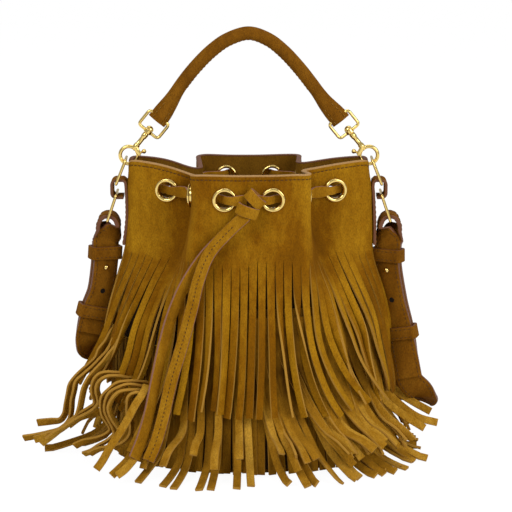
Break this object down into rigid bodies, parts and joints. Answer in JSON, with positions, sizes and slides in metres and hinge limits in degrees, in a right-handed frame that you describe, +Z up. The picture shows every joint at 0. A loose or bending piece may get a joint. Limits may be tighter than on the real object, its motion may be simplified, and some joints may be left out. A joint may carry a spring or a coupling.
{
  "type": "fringed drawstring bucket bag",
  "caption": "Oval suede bucket bag with two tiers of fringe, a gathered drawstring mouth with metal eyelets, a rolled handle on swivel hooks and a buckled shoulder strap.",
  "frame": {"origin": "middle of the base's underside, on the ground", "axes": "+Z up, front towards -Y, +X to the viewer's right"},
  "size_m": [0.3103, 0.2431, 0.3248],
  "materials": {
    "suede": "napped mustard suede",
    "lining": "darker suede inside",
    "strap": "smooth-napped brown suede with dark edges",
    "brass": "polished gold-coloured metal"
  },
  "bodies": {
    "bag": {"lining": "lining", "base_panel": "suede", "front_panel": "suede", "back_panel": "suede", "lower_fringe_front": "suede", "lower_fringe_back": "suede", "eyelet_01": "brass", "eyelet_02": "brass", "eyelet_03": "brass", "eyelet_04": "brass", "eyelet_05": "brass", "eyelet_06": "brass", "eyelet_07": "brass", "eyelet_08": "brass", "eyelet_09": "brass", "eyelet_10": "brass", "eyelet_11": "brass", "eyelet_12": "brass", "drawstring": "suede", "drawstring_knot": "suede", "drawstring_tail_left": "suede", "drawstring_tail_right": "suede", "side_tab_left": "strap", "side_tab_right": "strap", "shoulder_strap": "strap", "upper_keeper_left": "strap", "lower_keeper_left": "strap", "upper_keeper_right": "strap", "lower_keeper_right": "strap", "strap_stud_left": "brass", "strap_stud_right": "brass"},
    "handle": {"handle": "strap"},
    "swivel_eye_left": {"swivel_eye_left": "brass"},
    "hook_left": {"hook_left": "brass"},
    "gate_left": {"gate_left": "brass"},
    "upper_ring_left": {"upper_ring_left": "brass"},
    "lower_ring_left": {"lower_ring_left": "brass"},
    "swivel_eye_right": {"swivel_eye_right": "brass"},
    "hook_right": {"hook_right": "brass"},
    "gate_right": {"gate_right": "brass"},
    "upper_ring_right": {"upper_ring_right": "brass"},
    "lower_ring_right": {"lower_ring_right": "brass"}
  },
  "joints": [
    {"name": "handle_swing", "type": "hinge", "parent": "bag", "child": "handle", "pos_m": [0, 0, 0.22145], "axis": [1, 0, 0], "range_deg": [-42, 42]},
    {"name": "eye_turn_left", "type": "hinge", "parent": "handle", "child": "swivel_eye_left", "pos_m": [-0.06603, 0, 0.25487], "axis": [0.7771, 0, -0.6293], "range_deg": [-0.4, 0.4]},
    {"name": "hook_swivel_left", "type": "hinge", "parent": "swivel_eye_left", "child": "hook_left", "pos_m": [-0.07641, 0, 0.24204], "axis": [0.6293, 0, 0.7771], "range_deg": [-4, 4]},
    {"name": "gate_left", "type": "hinge", "parent": "hook_left", "child": "gate_left", "pos_m": [-0.08182, 0, 0.22789], "axis": [0, 1, 0], "range_deg": [0, 25], "stiffness_Nm_per_rad": 0.002, "springref_deg": -5.73},
    {"name": "upper_ring_tilt_left", "type": "hinge", "parent": "bag", "child": "upper_ring_left", "pos_m": [-0.0983, 0, 0.206], "axis": [0, 1, 0], "range_deg": [0, 2]},
    {"name": "lower_ring_tilt_left", "type": "hinge", "parent": "bag", "child": "lower_ring_left", "pos_m": [-0.0983, 0, 0.1983], "axis": [0, -1, 0], "range_deg": [0, 5]},
    {"name": "eye_turn_right", "type": "hinge", "parent": "handle", "child": "swivel_eye_right", "pos_m": [0.06603, 0, 0.25487], "axis": [-0.7771, 0, -0.6293], "range_deg": [-0.4, 0.4]},
    {"name": "hook_swivel_right", "type": "hinge", "parent": "swivel_eye_right", "child": "hook_right", "pos_m": [0.07641, 0, 0.24204], "axis": [-0.6293, 0, 0.7771], "range_deg": [-4, 4]},
    {"name": "gate_right", "type": "hinge", "parent": "hook_right", "child": "gate_right", "pos_m": [0.08182, 0, 0.22789], "axis": [0, -1, 0], "range_deg": [0, 25], "stiffness_Nm_per_rad": 0.002, "springref_deg": -5.73},
    {"name": "upper_ring_tilt_right", "type": "hinge", "parent": "bag", "child": "upper_ring_right", "pos_m": [0.0983, 0, 0.206], "axis": [0, -1, 0], "range_deg": [0, 2]},
    {"name": "lower_ring_tilt_right", "type": "hinge", "parent": "bag", "child": "lower_ring_right", "pos_m": [0.0983, 0, 0.1983], "axis": [0, 1, 0], "range_deg": [0, 5]}
  ]
}
